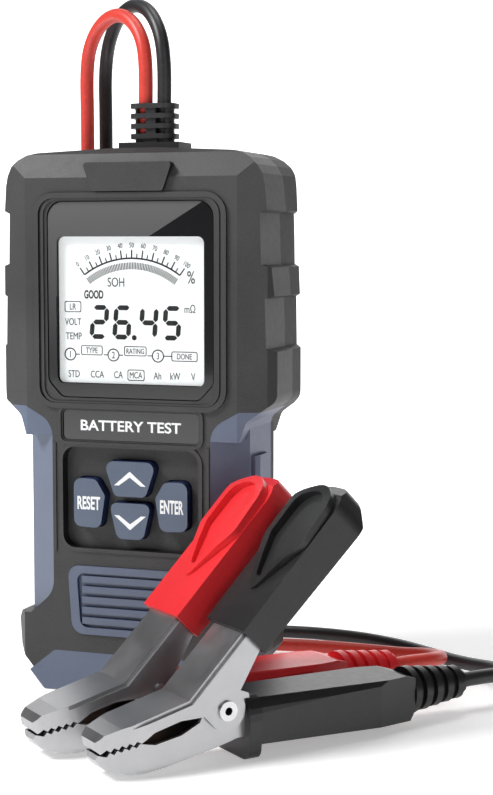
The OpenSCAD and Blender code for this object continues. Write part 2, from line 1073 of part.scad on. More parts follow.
module black_rivet() {
  on_table(black_at)
    rivet();
}

module black_spring_coil() {
  on_table(black_at)
    spring_coil();
}

module black_spring_leg() {
  on_table(black_at)
    spring_leg();
}

module black_lower_contact() {
  on_table(black_at)
    lower_contact();
}

module black_upper_contact() {
  on_table(black_at)
    upper_contact();
}

module black_contact_screw() {
  on_table(black_at)
    contact_screw();
}

module black_lower_sleeve() {
  on_table(black_at)
    lower_sleeve([0.1, 0.1, 0.11]);
}

module black_upper_sleeve() {
  on_table(black_at)
    upper_sleeve([0.1, 0.1, 0.11]);
}

// ---- leads ----

red_route = [[-3.1, 3.5, 140], [-3.1, 3.5, 158], [-3.1, 3.5, 178], [-3.1, 3.5, 194],
  [-5, 4.8, 202.6], [-10.2, 8.3, 208.8], [-17.3, 13, 211.1], [-24.4, 17.8, 208.8],
  [-29.6, 21.2, 202.6], [-31.5, 22.5, 194], [-31.5, 22.5, 178], [-31.5, 22.5, 140],
  [-31.5, 22.5, 100], [-31.5, 22.5, 60], [-31.5, 22.5, 42], [-31.5, 22.5, 30], [-31.1, 22.8, 20],
  [-29, 24.3, 11.2], [-24.1, 27.6, 5.4], [-16.2, 33.2, 3.1], [-5, 39.5, 3], [12, 46, 3],
  [28, 49.6, 3], [44, 51, 3], [58, 50.8, 3], [69.6, 48.6, 3.4], [77.6, 45.3, 4.6], [83.4, 38.9, 6],
  [86, 30.6, 7.6], [84.9, 22.1, 9]];
black_route = [[3.1, 3.5, 140], [3.1, 3.5, 158], [3.1, 3.5, 178], [3.1, 3.5, 194], [1, 5.2, 204.1],
  [-4.7, 10, 211.6], [-12.5, 16.5, 214.3], [-20.2, 23, 211.6], [-25.9, 27.8, 204.1],
  [-28, 29.5, 194], [-28, 29.5, 178], [-28, 29.5, 140], [-28, 29.5, 100], [-28, 29.5, 60],
  [-28, 29.5, 42], [-28, 29.5, 30], [-27.7, 29.9, 20], [-26, 31.9, 11.2], [-22.2, 36.4, 5.4],
  [-16, 43.6, 3.1], [-4, 55.4, 3], [13, 65.5, 3], [32, 69, 3], [50, 67, 3], [66, 60.6, 3],
  [80, 51.4, 3], [88.2, 44.6, 3.4], [96, 38.2, 4.2], [102.5, 32.7, 5.2], [107.3, 26.6, 6.3],
  [109.5, 19.1, 7.6], [108.4, 10.6, 9]];

// Where a lead enters a clamp, d along the handle from the rivet
function clamp_point(p, d) =
  [p[0] + d * cos(clamp_yaw), p[1] + d * sin(clamp_yaw), 9.6];
function whole_route(r, p) =
  concat(r, [clamp_point(p, 92), clamp_point(p, 80), clamp_point(p, 62)]);

// Catmull-Rom curve through the route
function at(p, i) = p[max(0, min(len(p) - 1, i))];
function curve(p, i, t) =
  0.5 * (2 * at(p, i) + (at(p, i + 1) - at(p, i - 1)) * t
  + (2 * at(p, i - 1) - 5 * at(p, i) + 4 * at(p, i + 1) - at(p, i + 2)) * t * t
  + (3 * at(p, i) - at(p, i - 1) - 3 * at(p, i + 1) + at(p, i + 2)) * t * t * t);
function smooth(p) = concat([for (i = [0 : len(p) - 2]) each [at(p, i),
  if (norm(at(p, i + 1) - at(p, i)) < 26) curve(p, i, 0.5)]], [at(p, len(p) - 1)]);

sides = 8;

module lead(route) {
  p = smooth(route);
  m = len(p);
  t = [for (i = [0 : m - 1]) unit(at(p, i + 1) - at(p, i - 1))];
  n = [for (i = 0, v = [1, 0, 0]; i < m;
    i = i + 1, v = unit(v - t[min(i, m - 1)] * (v * t[min(i, m - 1)]))) v];
  pts = [for (i = [0 : m - 1]) for (k = [0 : sides - 1])
    let (u = unit(n[i] - t[i] * (n[i] * t[i])), w = cross(t[i], u))
    p[i] + lead_d / 2 * (u * cos(k * 360 / sides) + w * sin(k * 360 / sides))];
  walls = [for (i = [0 : m - 2]) for (k = [0 : sides - 1])
    let (a = i * sides + k, b = i * sides + (k + 1) % sides)
    [b, a, a + sides, b + sides]];
  polyhedron(pts, concat([[for (k = [0 : sides - 1]) k]], walls,
    [[for (k = [sides - 1 : -1 : 0]) (m - 1) * sides + k]]));
}

module red_lead() {
  color(red)
    lead(whole_route(red_route, red_at));
}

module black_lead() {
  color([0.1, 0.1, 0.11])
    lead(whole_route(black_route, black_at));
}

front_shell();
rear_shell();
left_grip();
right_grip();
bottom_bumper();
rib_panel();
brow_tab();
screen_lens();
lens_gasket();
lcd_module();
lcd_frame();
name_strip();
up_key();
down_key();
reset_key();
enter_key();
up_plunger();
down_plunger();
reset_plunger();
enter_plunger();
switch_bodies();
main_board();
board_chips();
load_resistor();
capacitors();
buzzer();
fuse_block();
board_screws();
case_screws();
cable_sleeve();
cable_clamp();
solder_lugs();
foot_pads();
red_lead();
black_lead();
red_lower_jaw();
red_upper_jaw();
red_rivet();
red_spring_coil();
red_spring_leg();
red_lower_contact();
red_upper_contact();
red_contact_screw();
red_lower_sleeve();
red_upper_sleeve();
black_lower_jaw();
black_upper_jaw();
black_rivet();
black_spring_coil();
black_spring_leg();
black_lower_contact();
black_upper_contact();
black_contact_screw();
black_lower_sleeve();
black_upper_sleeve();
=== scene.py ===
import bpy
import math
import bmesh
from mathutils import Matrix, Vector


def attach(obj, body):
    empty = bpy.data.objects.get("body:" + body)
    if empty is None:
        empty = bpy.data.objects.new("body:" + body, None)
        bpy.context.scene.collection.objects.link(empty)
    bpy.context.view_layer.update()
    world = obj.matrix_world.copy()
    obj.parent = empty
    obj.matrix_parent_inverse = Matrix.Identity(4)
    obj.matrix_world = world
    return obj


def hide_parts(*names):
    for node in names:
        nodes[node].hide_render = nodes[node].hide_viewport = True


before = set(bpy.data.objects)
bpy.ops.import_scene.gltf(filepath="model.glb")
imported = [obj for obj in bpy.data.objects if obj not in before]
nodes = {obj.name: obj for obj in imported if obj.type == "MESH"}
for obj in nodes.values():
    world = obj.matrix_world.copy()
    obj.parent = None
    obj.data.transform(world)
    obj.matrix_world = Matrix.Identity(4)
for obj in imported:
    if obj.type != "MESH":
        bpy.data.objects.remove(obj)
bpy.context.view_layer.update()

# ---------------------------------------------------------------- camera and light
# The camera stands in front of the tester and to its right, at the height of the display, and
# looks slightly down. Three softboxes light it: high left, low right and overhead.
cam_data = bpy.data.cameras.new("camera")
cam = bpy.data.objects.new("camera", cam_data)
bpy.context.scene.collection.objects.link(cam)
cam_data.sensor_fit = "VERTICAL"
cam_data.sensor_height = 24
cam_data.lens = 51.1
cam_data.clip_start = 0.02
cam.location = (0.200, -0.490, 0.140)
turn, dip = math.radians(19), math.radians(5.3)
look = Vector((-math.sin(turn), math.cos(turn), -math.tan(dip)))
cam.rotation_euler = look.to_track_quat("-Z", "Y").to_euler()
bpy.context.scene.camera = cam


def area_light(name, place, aim, size, watts):
    """A white rectangular softbox at place, turned towards aim."""
    data = bpy.data.lights.new(name, "AREA")
    data.shape = "RECTANGLE"
    data.size, data.size_y = size
    data.energy = watts
    o = bpy.data.objects.new(name, data)
    o.location = place
    o.rotation_euler = (Vector(aim) - Vector(place)).to_track_quat("-Z", "Y").to_euler()
    bpy.context.scene.collection.objects.link(o)


area_light("key_light", (-0.62, -0.50, 0.85), (0.03, 0, 0.08), (0.35, 0.35), 12)
area_light("side_light", (0.75, -0.75, 0.45), (0.05, 0, 0.05), (0.16, 0.5), 1.1)
area_light("top_light", (0.05, 0.10, 1.1), (0.05, 0, 0.05), (0.5, 0.4), 3.5)


class Sock:
    """A shader socket that can be used in sums; every other node comes from node()."""

    def __init__(self, tree, out):
        self.tree, self.out = tree, out

    def math(self, op, *others, flip=False):
        n = self.tree.nodes.new("ShaderNodeMath")
        n.operation = op
        args = [self, *others]
        if flip:
            args.reverse()
        for i, a in enumerate(args):
            if isinstance(a, Sock):
                self.tree.links.new(a.out, n.inputs[i])
            else:
                n.inputs[i].default_value = a
        return Sock(self.tree, n.outputs[0])

    def __add__(self, o): return self.math("ADD", o)
    def __radd__(self, o): return self.math("ADD", o, flip=True)
    def __sub__(self, o): return self.math("SUBTRACT", o)
    def __rsub__(self, o): return self.math("SUBTRACT", o, flip=True)
    def __mul__(self, o): return self.math("MULTIPLY", o)
    def __rmul__(self, o): return self.math("MULTIPLY", o, flip=True)
    def __truediv__(self, o): return self.math("DIVIDE", o)
    def __lt__(self, o): return self.math("LESS_THAN", o)
    def __gt__(self, o): return self.math("GREATER_THAN", o)


def node(tree, kind, inputs=None, out=0, **props):
    """Any other shader node, its inputs set by name, as one of its output sockets."""
    n = tree.nodes.new(kind)
    for k, v in props.items():
        setattr(n, k, v)
    for k, v in (inputs or {}).items():
        if isinstance(v, Sock):
            tree.links.new(v.out, n.inputs[k])
        else:
            n.inputs[k].default_value = v
    return Sock(tree, n.outputs[out])


def ramp(value, stops):
    """Colour along a value, stops being (position, colour)."""
    n = value.tree.nodes.new("ShaderNodeValToRGB")
    e = n.color_ramp.elements
    while len(e) < len(stops):
        e.new(0.5)
    for i, (p, c) in enumerate(stops):
        e[i].position = p
        e[i].color = (*c, 1)
    value.tree.links.new(value.out, n.inputs[0])
    return Sock(value.tree, n.outputs[0])


def new_material(name):
    """A material with its tree, its Principled shader and the object's own coordinates."""
    m = bpy.data.materials.new(name)
    m.use_nodes = True
    tree = m.node_tree
    shader = tree.nodes["Principled BSDF"]
    place = node(tree, "ShaderNodeTexCoord", out=3)
    return m, tree, shader, place


def put(tree, shader, **inputs):
    """Link or set the shader's inputs; names use _ for a space."""
    for k, v in inputs.items():
        s = shader.inputs[k.replace("_", " ")]
        if isinstance(v, Sock):
            tree.links.new(v.out, s)
        else:
            s.default_value = v


def moulded(name, colour, rough, grain=0.3, grain_scale=4200, vary=0.12, painted_side_shade=None, gloss=0.5):
    """Moulded plastic or rubber: fine grain, slow colour drift and handling marks. The side-shade
    colour is painted shade, mixed onto the faces turned away from the front; gloss is the specular
    level."""
    m, tree, shader, place = new_material(name)
    fine = node(tree, "ShaderNodeTexNoise", {"Vector": place, "Scale": grain_scale, "Detail": 3})
    slow = node(tree, "ShaderNodeTexNoise", {"Vector": place, "Scale": 38, "Detail": 4})
    marks = node(tree, "ShaderNodeTexNoise", {"Vector": place, "Scale": 420, "Detail": 5})
    shade = slow * 0.55 + fine * 0.45
    dark = [c * (1 - vary) for c in colour]
    light = [min(1, c * (1 + vary) + 0.004) for c in colour]
    surface = ramp(shade, [(0.3, dark), (0.7, light)])
    if painted_side_shade:
        # Painted shade: faces that turn sideways are mixed towards the darker side-shade colour.
        normal = node(tree, "ShaderNodeTexCoord", out=1)
        facing = node(tree, "ShaderNodeSeparateXYZ", {"Vector": normal}, out=1)
        away = (1.12 - facing.math("ABSOLUTE") * 1.25).math("MAXIMUM", 0.0).math("MINIMUM", 1.0)
        surface = node(tree, "ShaderNodeMix", {0: away, 6: surface, 7: (*painted_side_shade, 1)}, out=2,
                       data_type="RGBA")
    put(tree, shader, Base_Color=surface, Roughness=rough - 0.06 + marks * 0.12,
        Specular_IOR_Level=gloss,
        Normal=node(tree, "ShaderNodeBump",
                    {"Height": fine, "Strength": grain, "Distance": 0.00006}))
    return m


def add_piece(name, bm, material, body="tester"):
    """A finished mesh piece: merged, normals outward, smooth up to 35 degrees, on its body."""
    bmesh.ops.remove_doubles(bm, verts=bm.verts, dist=1e-7)
    bmesh.ops.recalc_face_normals(bm, faces=bm.faces)
    for f in bm.faces:
        f.smooth = True
    for e in bm.edges:
        if len(e.link_faces) == 2 and e.calc_face_angle(0) > math.radians(35):
            e.smooth = False
    mesh = bpy.data.meshes.new(name)
    bm.to_mesh(mesh)
    bm.free()
    o = bpy.data.objects.new(name, mesh)
    bpy.context.scene.collection.objects.link(o)
    mesh.materials.append(material)
    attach(o, body)
    return o


# ---------------------------------------------------------------- test leads
# Two soft silicone-jacketed wires of 4.4 mm leave the top of the case side by side. They turn
# over to the back, drop behind the tester and lie on the table round to the two clamps.
RED_ROUTE = [(-3.1, 3.5, 158), (-3.1, 3.5, 178), (-3.1, 3.5, 194), (-5, 4.8, 202.6),
             (-10.2, 8.3, 208.8), (-17.3, 13, 211.1), (-24.4, 17.8, 208.8), (-29.6, 21.2, 202.6),
             (-31.5, 22.5, 194), (-31.5, 22.5, 178), (-31.5, 22.5, 140), (-31.5, 22.5, 100),
             (-31.5, 22.5, 60), (-31.5, 22.5, 42), (-31.5, 22.5, 30), (-31.1, 22.8, 20),
             (-29, 24.3, 11.2), (-24.1, 27.6, 5.4), (-16.2, 33.2, 3.1), (-5, 39.5, 3),
             (12, 46, 3), (28, 49.6, 3), (44, 51, 3), (58, 50.8, 3), (69.6, 48.6, 3.4),
             (77.6, 45.3, 4.6), (83.4, 38.9, 6), (86, 30.6, 7.6), (84.9, 22.1, 9)]
BLACK_ROUTE = [(3.1, 3.5, 158), (3.1, 3.5, 178), (3.1, 3.5, 194), (1, 5.2, 204.1),
               (-4.7, 10, 211.6), (-12.5, 16.5, 214.3), (-20.2, 23, 211.6), (-25.9, 27.8, 204.1),
               (-28, 29.5, 194), (-28, 29.5, 178), (-28, 29.5, 140), (-28, 29.5, 100),
               (-28, 29.5, 60), (-28, 29.5, 42), (-28, 29.5, 30), (-27.7, 29.9, 20),
               (-26, 31.9, 11.2), (-22.2, 36.4, 5.4), (-16, 43.6, 3.1), (-4, 55.4, 3),
               (13, 65.5, 3), (32, 69, 3), (50, 67, 3), (66, 60.6, 3), (80, 51.4, 3),
               (88.2, 44.6, 3.4), (96, 38.2, 4.2), (102.5, 32.7, 5.2), (107.3, 26.6, 6.3),
               (109.5, 19.1, 7.6), (108.4, 10.6, 9)]
YAW = math.radians(50)
CLAMPS = {"red": (21, -56), "black": (44.5, -67.5)}


def in_clamp(colour, x, z):
    """A point in mm on the middle plane of one clamp: x along its handles from the rivet, z up."""
    px, py = CLAMPS[colour]
    return px + x * math.cos(YAW), py + x * math.sin(YAW), z


def smooth_route(points, steps):
    """Catmull-Rom curve through the route's points."""
    p = [Vector(q) for q in points]
    out = []
    for i in range(len(p) - 1):
        a, b, c, d = p[max(i - 1, 0)], p[i], p[i + 1], p[min(i + 2, len(p) - 1)]
        for k in range(steps):
            t = k / steps
            out.append(0.5 * (2 * b + (c - a) * t + (2 * a - 5 * b + 4 * c - d) * t * t
                              + (3 * b - a - 3 * c + d) * t ** 3))
    return out + [p[-1]]


def tube(path, radius, sides=16):
    """A closed tube along a path, with a frame that doesn't twist."""
    bm = bmesh.new()
    rings, normal = [], Vector((1, 0, 0))
    for i, p in enumerate(path):
        t = (path[min(i + 1, len(path) - 1)] - path[max(i - 1, 0)]).normalized()
        normal = (normal - t * normal.dot(t)).normalized()
        w = t.cross(normal)
        rings.append([bm.verts.new(p + radius * (normal * math.cos(a) + w * math.sin(a)))
                      for a in (math.tau * k / sides for k in range(sides))])
    for a, b in zip(rings, rings[1:]):
        for k in range(sides):
            bm.faces.new((a[k], a[(k + 1) % sides], b[(k + 1) % sides], b[k]))
    bm.faces.new(rings[0])
    bm.faces.new(rings[-1])
    return bm


red_jacket = moulded("red_jacket", (0.62, 0.045, 0.03), 0.42, grain=0.15, grain_scale=900,
                     vary=0.16)
black_jacket = moulded("black_jacket", (0.018, 0.018, 0.02), 0.4, grain=0.15, grain_scale=900,
                       vary=0.3)

for colour, route, jacket, start_x in (("red", RED_ROUTE, red_jacket, -3.1),
                                       ("black", BLACK_ROUTE, black_jacket, 3.1)):
    ends = [in_clamp(colour, d, 9.6) for d in (92, 80, 62)]
    path = [p / 1000 for p in smooth_route(route + ends, 6)]
    length = sum((b - a).length for a, b in zip(path, path[1:]))
    lead = add_piece(colour + "_lead_wire", tube(path, 0.0022), jacket)
    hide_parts(colour + "_lead")
    colour + "_jacket"
    start_x / 1000
    [nodes[n] for n in sorted(nodes)
                         if n.startswith(colour + "_") and n != colour + "_lead"]


# ---------------------------------------------------------------- case
# Two halves of grained ABS, the front one charcoal and the rear one black, screwed together
# from the back. The mould gives every edge a small radius.
def soften(name, width):
    """Mould radius of width mm on a CAD node's edges sharper than 28 degrees."""
    o = nodes[name]
    b = o.modifiers.new("radius", "BEVEL")
    b.width = width / 1000
    b.segments = 2
    b.limit_method = "ANGLE"
    b.angle_limit = math.radians(28)
    b.use_clamp_overlap = True
    b.harden_normals = False
    w = o.modifiers.new("shade", "WEIGHTED_NORMAL")
    w.keep_sharp = False


def dress(material, *names):
    """Give CAD nodes their material."""
    for n in names:
        mesh = nodes[n].data
        mesh.materials.clear()
        mesh.materials.append(material)


# The charcoal gets painted shade on its faces turned away from the front.
charcoal = moulded("charcoal_abs", (0.046, 0.046, 0.047), 0.46, grain=0.7, grain_scale=2600,
                   vary=0.3, painted_side_shade=(0.010, 0.010, 0.0105), gloss=0.32)
black_abs = moulded("black_abs", (0.004, 0.004, 0.0044), 0.5, grain=0.5, grain_scale=2600,
                    vary=0.3, gloss=0.18)
dress(charcoal, "front_shell", "brow_tab")
dress(black_abs, "rear_shell")

# ---------------------------------------------------------------- rubber grips and foot
# Blue-grey soft rubber moulded over the waist, the foot and the front panel, with painted shade
# making it darker where it turns away at the edges.
blue_rubber = moulded("blue_rubber", (0.100, 0.125, 0.185), 0.42, grain=0.18, grain_scale=2600,
                      vary=0.14, painted_side_shade=(0.045, 0.065, 0.15))
dress(blue_rubber, "left_grip", "right_grip", "bottom_bumper", "rib_panel")


# ---------------------------------------------------------------- display window
# A black-printed gloss sheet is glued into the front; its clear middle shows the display. Its black
# border carries a painted reflection of a softbox, a grey patch that ends along a slanting line.
lens_mat, tree, shader, place = new_material("display_window")
px, pz = (node(tree, "ShaderNodeSeparateXYZ", {"Vector": place}, out=k) for k in (0, 2))
# The clear middle is 48 by 44.8 mm with rounded corners
half_w, half_h, middle_z, corner_r = 0.0240, 0.0224, 0.1188, 0.002
over_x = (px.math("ABSOLUTE") - (half_w - corner_r)).math("MAXIMUM", 0.0)
over_z = ((pz - middle_z).math("ABSOLUTE") - (half_h - corner_r)).math("MAXIMUM", 0.0)
clear = (over_x * over_x + over_z * over_z) < corner_r ** 2
# The painted softbox reflection shows above a line that falls to the left, and down the left
# border, and fades towards the bottom
slope, line_z, border_x, dark_z, fade_rate = 0.6, 0.1374, -0.0243, 0.09, 12.0
painted_reflection = ((pz - px * slope) > line_z).math("MAXIMUM", px < border_x)
fade = ((pz - dark_z) * fade_rate).math("MINIMUM", 1.0).math("MAXIMUM", 0.0)
smudge = node(tree, "ShaderNodeTexNoise", {"Vector": place, "Scale": 60, "Detail": 4})
put(tree, shader, Base_Color=ramp(painted_reflection * fade * (1 - clear) + smudge * 0.02,
                                  [(0.0, (0.003, 0.003, 0.004)), (1.0, (0.15, 0.15, 0.152))]),
    Roughness=0.05 + smudge * 0.05, Alpha=1 - clear * 0.93, Coat_Weight=0.3)
dress(lens_mat, "screen_lens")

gasket = moulded("gasket_foam", (0.02, 0.02, 0.02), 0.7)
dress(gasket, "lens_gasket")

strip_mat, tree, shader, place = new_material("name_strip_gloss")
smudge = node(tree, "ShaderNodeTexNoise", {"Vector": place, "Scale": 90, "Detail": 4})
put(tree, shader,
    Base_Color=ramp(smudge, [(0.3, (0.004, 0.004, 0.005)), (0.8, (0.008, 0.008, 0.01))]),
    Roughness=0.08 + smudge * 0.1, Coat_Weight=0.4)
dress(strip_mat, "name_strip")

# The display itself is a pale segment panel lit from behind, a little brighter in its middle.
lcd_mat, tree, shader, place = new_material("display_panel")
glow = node(tree, "ShaderNodeTexNoise", {"Vector": place, "Scale": 25, "Detail": 2})
lit = ramp(glow, [(0.2, (0.80, 0.84, 0.84)), (0.8, (0.92, 0.95, 0.95))])
put(tree, shader, Base_Color=lit, Roughness=0.35, Emission_Color=lit, Emission_Strength=0.42)
dress(lcd_mat, "lcd_module")


# ---------------------------------------------------------------- printed and segment marks
# The display's segments and the white pad printing are thin flat films, cut as meshes.
# The case's front face and the thickness of a print, in metres
FRONT = -0.018
FILM = 0.00004


def ink(name, colour, rough=0.5, emission=0.0):
    """Flat print or display segment, worn a little unevenly; emission, where given, makes it glow,
    a painted brightening.
    """
    m, tree, shader, place = new_material(name)
    wear = node(tree, "ShaderNodeTexNoise", {"Vector": place, "Scale": 900, "Detail": 3})
    dark = [c * 0.9 for c in colour]
    shade = ramp(wear, [(0.3, dark), (0.7, colour)])
    put(tree, shader, Base_Color=shade, Roughness=rough - 0.05 + wear * 0.1)
    if emission:
        put(tree, shader, Emission_Color=shade, Emission_Strength=emission)
    return m


segment_ink = ink("segment_black", (0.01, 0.012, 0.012), 0.4)
# The white print glows faintly: painted light that brightens it.
white_ink = ink("white_print", (0.85, 0.87, 0.88), 0.5, 0.08)


def film(bm, points, y):
    """One flat mark of X-Z points in mm, facing the front at depth y in metres."""
    ring = [bm.verts.new((x / 1000, y, z / 1000)) for x, z in points]
    back = [bm.verts.new((x / 1000, y + FILM, z / 1000)) for x, z in points]
    n = len(ring)
    bm.faces.new(ring)
    bm.faces.new(back[::-1])
    for i in range(n):
        bm.faces.new((ring[i], back[i], back[(i + 1) % n], ring[(i + 1) % n]))


def outline_film(bm, outer, inner, y):
    """A closed line between two outlines with the same number of points."""
    n = len(outer)
    for i in range(n):
        j = (i + 1) % n
        film(bm, [outer[i], outer[j], inner[j], inner[i]], y)


def rounded_box(cx, cz, w, h, r):
    """Points of a rounded rectangle in mm."""
    pts = []
    for sx, sz, a0 in ((1, 1, 0), (-1, 1, 90), (-1, -1, 180), (1, -1, 270)):
        for k in range(5):
            a = math.radians(a0 + 90 * k / 4)
            pts.append((cx + sx * (w / 2 - r) + r * math.cos(a),
                        cz + sz * (h / 2 - r) + r * math.sin(a)))
    return pts


def circle_points(cx, cz, r):
    """Points of a circle in mm."""
    turns = [math.tau * k / 20 for k in range(20)]
    return [(cx + r * math.cos(a), cz + r * math.sin(a)) for a in turns]


def words(name, text, cx, cz, height, y, material, body="tester", width=None, bold=0.0,
          squeeze=1.0, turn=0.0):
    """Plain lettering as a mesh, centred at (cx, cz) mm and height mm tall."""
    data = bpy.data.curves.new(name, "FONT")
    data.body = text
    data.align_x = "CENTER"
    data.align_y = "CENTER"
    data.offset = bold
    data.extrude = 0.00002 / (height / 1000)
    raw = bpy.data.objects.new(name + "_raw", data)
    bpy.context.scene.collection.objects.link(raw)
    bpy.context.view_layer.update()
    mesh = bpy.data.meshes.new_from_object(raw)
    bpy.data.objects.remove(raw)
    bm = bmesh.new()
    bm.from_mesh(mesh)
    bpy.data.meshes.remove(mesh)
    xs = [v.co.x for v in bm.verts]
    ys = [v.co.y for v in bm.verts]
    k = height / 1000 / (max(ys) - min(ys))
    kx = k * squeeze if width is None else width / 1000 / (max(xs) - min(xs))
    cos_t, sin_t = math.cos(turn), math.sin(turn)
    mx, my = (max(xs) + min(xs)) / 2, (max(ys) + min(ys)) / 2
    for v in bm.verts:
        x, z = (v.co.x - mx) * kx, (v.co.y - my) * k
        v.co = Vector((x * cos_t - z * sin_t + cx / 1000, y + v.co.z * k,
                       x * sin_t + z * cos_t + cz / 1000))
    return add_piece(name, bm, material, body)


SEG_Y = FRONT + 0.0022 - 0.00006


def fan_tree():
    """Geometry Nodes tree: equal bars in a row along an arc, each pointing at its centre."""
    tree = bpy.data.node_groups.new("fan_of_bars", "GeometryNodeTree")
    face = tree.interface
    face.new_socket("Geometry", in_out="INPUT", socket_type="NodeSocketGeometry")
    for label, kind in (("Count", "NodeSocketInt"), ("Half Angle", "NodeSocketFloat"),
                        ("Radius", "NodeSocketFloat"), ("Bar Length", "NodeSocketFloat"),
                        ("Bar Width", "NodeSocketFloat"), ("Centre", "NodeSocketVector"),
                        ("Ink", "NodeSocketMaterial")):
        face.new_socket(label, in_out="INPUT", socket_type=kind)
    face.new_socket("Geometry", in_out="OUTPUT", socket_type="NodeSocketGeometry")

    def add(kind, inputs, **props):
        """A node with its inputs linked or set, as its first output socket."""
        n = tree.nodes.new(kind)
        for k, v in props.items():
            setattr(n, k, v)
        for k, v in inputs.items():
            if hasattr(v, "is_output"):
                tree.links.new(v, n.inputs[k])
            else:
                n.inputs[k].default_value = v
        return n.outputs[0]

    def maths(op, a, b=0.0):
        """A sum of two sockets or numbers, or of one with b left out."""
        return add("ShaderNodeMath", {0: a, 1: b}, operation=op)

    given = tree.nodes.new("NodeGroupInput").outputs
    last = maths("SUBTRACT", given["Count"], 1.0)
    part = maths("DIVIDE", add("GeometryNodeInputIndex", {}), last)
    side = maths("SUBTRACT", maths("MULTIPLY", part, 2.0), 1.0)
    angle = maths("MULTIPLY", side, given["Half Angle"])
    middle = maths("ADD", given["Radius"], maths("MULTIPLY", given["Bar Length"], 0.5))
    spot = add("ShaderNodeCombineXYZ", {"X": maths("MULTIPLY", maths("SINE", angle), middle),
                                        "Z": maths("MULTIPLY", maths("COSINE", angle), middle)})
    spot = add("ShaderNodeVectorMath", {0: spot, 1: given["Centre"]}, operation="ADD")
    bar = add("GeometryNodeMeshCube", {"Size": add("ShaderNodeCombineXYZ", {
        "X": given["Bar Width"], "Y": FILM, "Z": given["Bar Length"]})})
    row = add("GeometryNodePoints", {"Count": given["Count"], "Position": spot})
    turn = add("FunctionNodeEulerToRotation", {0: add("ShaderNodeCombineXYZ", {"Y": angle})})
    bars = add("GeometryNodeInstanceOnPoints", {"Points": row, "Instance": bar, "Rotation": turn})
    solid = add("GeometryNodeRealizeInstances", {"Geometry": bars})
    inked = add("GeometryNodeSetMaterial", {"Geometry": solid, "Material": given["Ink"]})
    end = tree.nodes.new("NodeGroupOutput")
    tree.links.new(inked, end.inputs[0])
    return tree


FAN = fan_tree()


def fan(name, count, degrees, radius, length, width, cz):
    """A row of bars on the display, sizes in mm, centred over x = 0 at height cz."""
    mesh = bpy.data.meshes.new(name + "_seed")
    o = bpy.data.objects.new(name + "_seed", mesh)
    bpy.context.scene.collection.objects.link(o)
    mod = o.modifiers.new("fan", "NODES")
    mod.node_group = FAN
    values = {"Count": count, "Half Angle": math.radians(degrees), "Radius": radius / 1000,
              "Bar Length": length / 1000, "Bar Width": width / 1000,
              "Centre": (0, SEG_Y + FILM / 2, cz / 1000), "Ink": segment_ink}
    for item in FAN.interface.items_tree:
        if item.in_out == "INPUT" and item.name in values:
            mod[item.identifier] = values[item.name]
    made = bpy.data.meshes.new_from_object(o.evaluated_get(bpy.context.evaluated_depsgraph_get()))
    bpy.data.objects.remove(o)
    bm = bmesh.new()
    bm.from_mesh(made)
    bpy.data.meshes.remove(made)
    return add_piece(name, bm, segment_ink)


# Arc scale: a baseline under long and short ticks from 0 to 100, and a bar graph below it
ARC_Z, ARC_R, ARC_HALF = 108.1, 26.6, 36
fan("scale_long_ticks", 11, ARC_HALF, ARC_R, 2.5, 0.42, ARC_Z)
fan("scale_short_ticks", 21, ARC_HALF, ARC_R, 1.4, 0.34, ARC_Z)
fan("scale_bar_graph", 60, ARC_HALF, 23.2, 2.1, 0.27, ARC_Z)
marks = bmesh.new()
base = [math.radians(90 + ARC_HALF - k * ARC_HALF / 15) for k in range(31)]
for a0, a1 in zip(base, base[1:]):
    film(marks, [(r * math.cos(a), ARC_Z + r * math.sin(a))
                 for r, a in ((26.3, a0), (26.8, a0), (26.8, a1), (26.3, a1))], SEG_Y)


def digit(bm, cx, cz, w, h, t, which):
    """A seven-segment figure w by h with bars t wide; which names its lit bars."""
    g = 0.18
    lean = 0.08

    def flat(points):
        film(bm, [(cx + x + lean * z, cz + z) for x, z in points], SEG_Y)

    x, z = w / 2 - t / 2, h / 2 - t / 2
    for bar, zz in (("a", z), ("g", 0), ("d", -z)):
        if bar in which:
            flat([(-x + g, zz), (-x + g + t / 2, zz + t / 2), (x - g - t / 2, zz + t / 2),
                  (x - g, zz), (x - g - t / 2, zz - t / 2), (-x + g + t / 2, zz - t / 2)])
    for bar, xx, z0, z1 in (("b", x, 0, z), ("c", x, -z, 0), ("f", -x, 0, z), ("e", -x, -z, 0)):
        if bar in which:
            flat([(xx, z0 + g), (xx + t / 2, z0 + g + t / 2), (xx + t / 2, z1 - g - t / 2),
                  (xx, z1 - g), (xx - t / 2, z1 - g - t / 2), (xx - t / 2, z0 + g + t / 2)])


for cx, bars in ((-10.8, "abged"), (-3.2, "acdefg"), (5.4, "fgbc"), (13.0, "afgcd")):
    digit(marks, cx, 115.2, 6.0, 10.4, 1.5, bars)
film(marks, circle_points(0.7, 110.6, 0.8), SEG_Y)
# Row of circles and boxes joined by dashes, then the boxes round two other words
STEP_Z, UNIT_Z = 105.2, 99.2
for cx in (-20.6, -6.2, 8.4):
    outline_film(marks, circle_points(cx, STEP_Z, 2.0), circle_points(cx, STEP_Z, 1.65), SEG_Y)
for cx, cz, w, h, inner_r in (
        (-13.4, STEP_Z + 1.3, 7.2, 3.0, 0.4), (1.0, STEP_Z + 1.3, 7.4, 3.0, 0.4),
        (17.0, STEP_Z, 8.4, 3.0, 0.4), (-19.6, 119.8, 5.6, 3.4, 0.5), (1.2, UNIT_Z, 5.6, 3.4, 0.5)):
    outline_film(marks, rounded_box(cx, cz, w, h, 0.6),
                 rounded_box(cx, cz, w - 0.5, h - 0.5, inner_r), SEG_Y)
for x0, x1 in ((-18.6, -17.4), (-9.4, -8.2), (-4.2, -3.0), (5.0, 6.4), (10.4, 12.8)):
    film(marks, [(x0, STEP_Z - 0.15), (x1, STEP_Z - 0.15), (x1, STEP_Z + 0.15),
                 (x0, STEP_Z + 0.15)], SEG_Y)
add_piece("display_segments", marks, segment_ink)

